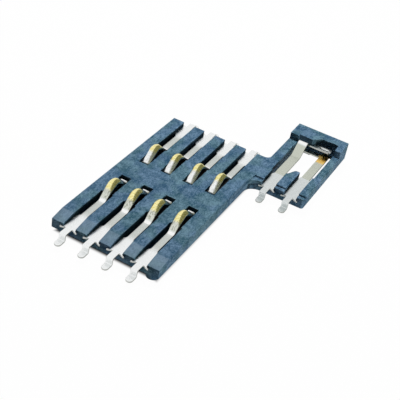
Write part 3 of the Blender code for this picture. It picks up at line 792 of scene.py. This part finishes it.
def make_floor():
    """White table top: it glows for the eye, save for a faint shadow and a painted shadow under the
    frame.

    That painted shadow is a dark rectangle under the frame, softened along its edges, seen through
    the slots.
    """
    material = start_tree(bpy.data.materials.new("table_white"))
    place = object_place()
    beside = abs(part_of(place, 0)).between(FRAME_SIDE - GAP_BLUR, FRAME_SIDE)
    beyond = abs(part_of(place, 1)).between(FRAME_END - GAP_BLUR, FRAME_END)
    open_table = beside.math("MAXIMUM", beyond)
    glow = Wire.node("ShaderNodeEmission", None, {"Color": WHITE, "Strength": 1.0})
    # Painted shadow: a dark table under the frame, where the glow is left out
    gap_shadow = Wire.node("ShaderNodeBsdfDiffuse", None, {"Color": UNDER_FRAME_SHADOW_TONE})
    table = Wire.node("ShaderNodeBsdfDiffuse", None, {"Color": FLOOR_TONE})
    shade = Wire.node("ShaderNodeMixShader", None, {0: open_table, 1: gap_shadow, 2: table})
    share = open_table * FLOOR_GLOW * seen_directly()
    show(Wire.node("ShaderNodeMixShader", None, {0: share, 1: shade, 2: glow}))
    stand_board("floor", [(-TABLE_HALF, -TABLE_HALF, TABLE_LEVEL),
                          (TABLE_HALF, -TABLE_HALF, TABLE_LEVEL),
                          (TABLE_HALF, TABLE_HALF, TABLE_LEVEL),
                          (-TABLE_HALF, TABLE_HALF, TABLE_LEVEL)], material)


def make_world():
    """White backdrop for the eye and for mirrors, and a soft even fill for the rest."""
    bpy.context.scene.world = start_tree(bpy.data.worlds.new("studio"))
    strength = WORLD_FILL + seen_directly() * (1.0 - WORLD_FILL)
    sky = Wire.node("ShaderNodeBackground", None, {"Color": WHITE, "Strength": strength})
    show(sky, "ShaderNodeOutputWorld")


def facing(place):
    """Matrix that stands at a place with its local +Z pointing away from the connector."""
    back = np.array(place) / np.linalg.norm(place)
    side = np.cross((0.0, 0.0, 1.0), back)
    side = side / np.linalg.norm(side)
    axes = np.column_stack((side, np.cross(back, side), back, place))
    return Matrix(axes.tolist() + [[0.0, 0.0, 0.0, 1.0]])


def make_lamp(name, place, size, power, colour):
    """Square softbox that faces the connector, kept out of the mirror-bright metal."""
    lamp = bpy.data.lights.new(name, "AREA")
    lamp.size = size
    lamp.energy = power
    lamp.color = colour
    softbox = bpy.data.objects.new(name, lamp)
    bpy.context.scene.collection.objects.link(softbox)
    softbox.matrix_world = facing(place)
    softbox.visible_glossy = False


def make_card(name, corners):
    """Dark card outside the picture, which only the metal mirrors."""
    material = start_tree(bpy.data.materials.new("dark_card"))
    show(Wire.node("ShaderNodeEmission", None, {"Color": CARD_TONE, "Strength": 1.0}))
    card = stand_board(name, corners, material)
    card.visible_camera = False
    card.visible_diffuse = False
    card.visible_shadow = False
    card.visible_transmission = False


def past(start, ends, *look):
    """A stretch of a strip: two lengths in mm past a start in metres, and its look."""
    return (start / MM + ends[0], start / MM + ends[1], *look)


frame_face = length_of(tail_path())
_, kink_at, _, bump_top = contact_places(frame_face)

make_housing(slate_plastic())
make_contacts(frame_face, plated_strip(
    "contact_plating", BRIGHT_TIN,
    gold=past(bump_top, BUMP_GOLD, *PALE_GOLD),
    satin=past(kink_at, (-ARM_FLAT / MM, 0.0), ARM_GREY, 0.6),
    # Painted highlight on the fold at the kink
    fold_highlight=past(kink_at, KINK_HIGHLIGHT, FOLD_HIGHLIGHT),
    # Painted darker reflection on the ramp
    ramp=past(kink_at, (RAMP_START, (bump_top - kink_at) / MM), RAMP_DARK_REFLECTION)))
make_lever(frame_face, plated_strip(
    "lever_plating", GREY_TIN,
    gold=NOWHERE,
    satin=past(frame_face, LEVER_SATIN, BLADE_GREY, 0.05),
    # Painted highlight on the knee
    fold_highlight=past(frame_face, KNEE_HIGHLIGHT, FOLD_HIGHLIGHT),
    ramp=NOWHERE))
make_terminal(frame_face, plated_strip(
    "terminal_plating", GREY_TIN,
    gold=past(frame_face, TERMINAL_GOLD, *RICH_GOLD),
    satin=past(frame_face, (TERMINAL_CREASE / MM, PAST_THE_END), BLADE_GREY, 0.05),
    fold_highlight=NOWHERE,
    ramp=NOWHERE))

make_camera()
make_floor()
make_world()
make_lamp("top_softbox", place=(-0.017, 0.045, 0.12), size=0.02, power=0.19,
          colour=(1.0, 1.0, 1.0))
make_lamp("side_softbox", place=(0.50, -0.10, 0.035), size=0.05, power=1.6,
          colour=(1.0, 0.98, 0.92))
make_card("side_flag", [(CARD_RIGHT, CARD_FRONT, TABLE_LEVEL),
                        (CARD_RIGHT, CARD_BACK, TABLE_LEVEL),
                        (CARD_HEAD, CARD_BACK, CARD_TOP),
                        (CARD_HEAD, CARD_FRONT, CARD_TOP)])
make_card("back_flag", [(CARD_LEFT, CARD_BACK, TABLE_LEVEL),
                        (CARD_RIGHT, CARD_BACK, TABLE_LEVEL),
                        (CARD_HEAD, CARD_BACK, CARD_TOP),
                        (CARD_LEFT, CARD_BACK, CARD_TOP)])
bpy.context.scene.view_settings.view_transform = "Standard"
